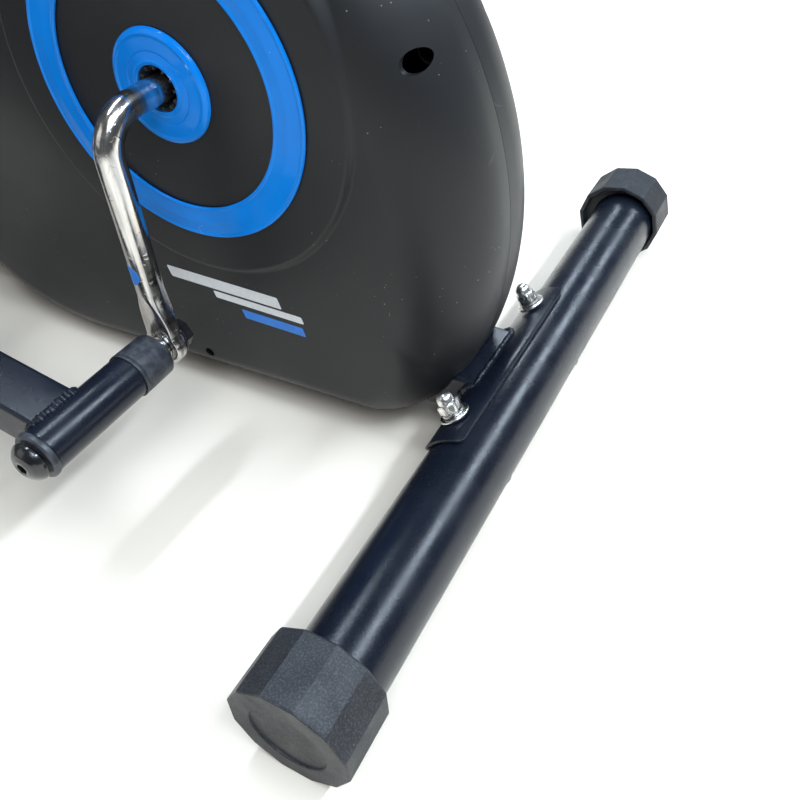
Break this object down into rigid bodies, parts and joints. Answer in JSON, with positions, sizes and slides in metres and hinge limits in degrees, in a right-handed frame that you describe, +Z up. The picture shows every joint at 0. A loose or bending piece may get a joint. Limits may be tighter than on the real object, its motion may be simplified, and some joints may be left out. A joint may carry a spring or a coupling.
{
  "type": "elliptical cross trainer",
  "caption": "Rear-drive elliptical cross trainer: round drive casing, chromed cranks, bent pedal bars, swinging arm handles, console and levelling feet.",
  "frame": {"origin": "on the floor under the middle of the machine's bounding box", "axes": "+X forwards (from the drive casing to the front post), +Y to the user's left, +Z up"},
  "size_m": [1.1566, 0.522, 1.5372],
  "materials": {
    "black_paint": "semi-gloss black powder coat",
    "black_steel": "glossy black oxide",
    "blue_gloss": "glossy blue plastic",
    "button": "red plastic",
    "cap_plastic": "matte dark plastic",
    "cast_iron": "machined grey cast iron",
    "chrome": "bright chrome plating with light scratches",
    "cover_plastic": "fine-textured charcoal plastic, soft sheen",
    "foam": "black foam",
    "rubber": "ribbed black rubber",
    "screen": "grey-green display window",
    "zinc": "zinc-plated steel"
  },
  "bodies": {
    "frame": {"keel_tube": "black_paint", "rear_saddle": "black_paint", "front_saddle": "black_paint", "rear_stabiliser": "black_paint", "front_stabiliser": "black_paint", "rear_bolt_left": "zinc", "rear_bolt_right": "zinc", "front_bolt_left": "zinc", "front_bolt_right": "zinc", "front_cap_left": "cap_plastic", "front_cap_right": "cap_plastic", "crank_housing": "black_paint", "crank_bearing_left": "zinc", "crank_bearing_right": "zinc", "post_stub": "black_paint", "front_post": "black_paint", "left_cover": "cover_plastic", "right_cover": "cover_plastic", "blue_ring_left": "blue_gloss", "blue_ring_right": "blue_gloss", "hub_disc_left": "blue_gloss", "hub_disc_right": "blue_gloss", "drive_belt": "rubber", "flywheel_axle": "zinc", "flywheel_fork": "black_paint", "swing_axle": "zinc", "fixed_handlebar": "black_paint", "handlebar_clamp": "black_paint", "fixed_grip_left": "foam", "fixed_grip_right": "foam", "console_body": "cover_plastic", "console_screen": "screen"},
    "crank": {"crank": "chrome", "crank_bolt_left": "black_steel", "crank_bolt_right": "black_steel", "drive_pulley": "cap_plastic"},
    "flywheel": {"flywheel": "cast_iron"},
    "magnet_bracket": {"magnet_bracket": "black_paint"},
    "tension_knob": {"tension_knob": "cap_plastic"},
    "console_button": {"console_button": "button"},
    "pedal_bar_left": {"pedal_bar_left": "black_paint", "bush_collar_left": "cap_plastic", "flange_bush_left": "cap_plastic", "foot_plate_left": "cap_plastic", "link_bolt_left": "black_steel"},
    "swing_arm_left": {"swing_arm_left": "black_paint", "swing_handle_left": "black_paint", "handle_grip_left": "foam"},
    "rear_cap_left": {"rear_cap_left": "cap_plastic"},
    "transport_wheel_left": {"transport_wheel_left": "cap_plastic"},
    "pedal_bar_right": {"pedal_bar_right": "black_paint", "bush_collar_right": "cap_plastic", "flange_bush_right": "cap_plastic", "foot_plate_right": "cap_plastic", "link_bolt_right": "black_steel"},
    "swing_arm_right": {"swing_arm_right": "black_paint", "swing_handle_right": "black_paint", "handle_grip_right": "foam"},
    "rear_cap_right": {"rear_cap_right": "cap_plastic"},
    "transport_wheel_right": {"transport_wheel_right": "cap_plastic"}
  },
  "joints": [
    {"name": "crank_spin", "type": "hinge", "parent": "frame", "child": "crank", "pos_m": [-0.35725, 0, 0.2362], "axis": [0, 1, 0], "continuous": true},
    {"name": "flywheel_spin", "type": "hinge", "parent": "frame", "child": "flywheel", "pos_m": [-0.17775, 0, 0.17], "axis": [0, 1, 0], "continuous": true},
    {"name": "pedal_turn_left", "type": "hinge", "parent": "crank", "child": "pedal_bar_left", "pos_m": [-0.35725, 0, 0.0882], "axis": [0, 1, 0], "continuous": true},
    {"name": "pedal_turn_right", "type": "hinge", "parent": "crank", "child": "pedal_bar_right", "pos_m": [-0.35725, 0, 0.3842], "axis": [0, 1, 0], "continuous": true},
    {"name": "arm_swing_left", "type": "hinge", "parent": "frame", "child": "swing_arm_left", "pos_m": [0.35725, 0.146, 0.84], "axis": [0, 1, 0], "range_deg": [-16, 16]},
    {"name": "arm_swing_right", "type": "hinge", "parent": "frame", "child": "swing_arm_right", "pos_m": [0.35725, -0.146, 0.84], "axis": [0, 1, 0], "range_deg": [-16, 16]},
    {"name": "tension_turn", "type": "hinge", "parent": "frame", "child": "tension_knob", "pos_m": [0.345, 0, 0.98], "axis": [-0.9962, 0, -0.0872], "range_deg": [0, 270]},
    {"name": "magnet_swing", "type": "hinge", "parent": "frame", "child": "magnet_bracket", "pos_m": [-0.11249, -0.01, 0.08647], "axis": [0, 1, 0], "range_deg": [0, 10]},
    {"name": "button_press", "type": "slide", "parent": "frame", "child": "console_button", "axis": [0.5736, 0, -0.8192], "range_m": [0, 0.0015], "stiffness_N_per_m": 600},
    {"name": "cap_turn_left", "type": "hinge", "parent": "frame", "child": "rear_cap_left", "pos_m": [-0.54775, 0.24, 0.03294], "axis": [0, 1, 0], "range_deg": [-90, 90]},
    {"name": "cap_turn_right", "type": "hinge", "parent": "frame", "child": "rear_cap_right", "pos_m": [-0.54775, -0.24, 0.03294], "axis": [0, 1, 0], "range_deg": [-90, 90]},
    {"name": "wheel_spin_left", "type": "hinge", "parent": "frame", "child": "transport_wheel_left", "pos_m": [0.55425, 0.238, 0.033], "axis": [0, 1, 0], "continuous": true},
    {"name": "wheel_spin_right", "type": "hinge", "parent": "frame", "child": "transport_wheel_right", "pos_m": [0.55425, -0.238, 0.033], "axis": [0, 1, 0], "continuous": true}
  ],
  "couplings": [
    {"joint": "flywheel_spin", "follows": "crank_spin", "ratio": 5.8333},
    {"joint": "pedal_turn_left", "follows": "crank_spin", "ratio": -1},
    {"joint": "pedal_turn_right", "follows": "crank_spin", "ratio": -1},
    {"joint": "arm_swing_right", "follows": "arm_swing_left", "ratio": -1},
    {"joint": "magnet_swing", "follows": "tension_turn", "ratio": 0.037037}
  ]
}
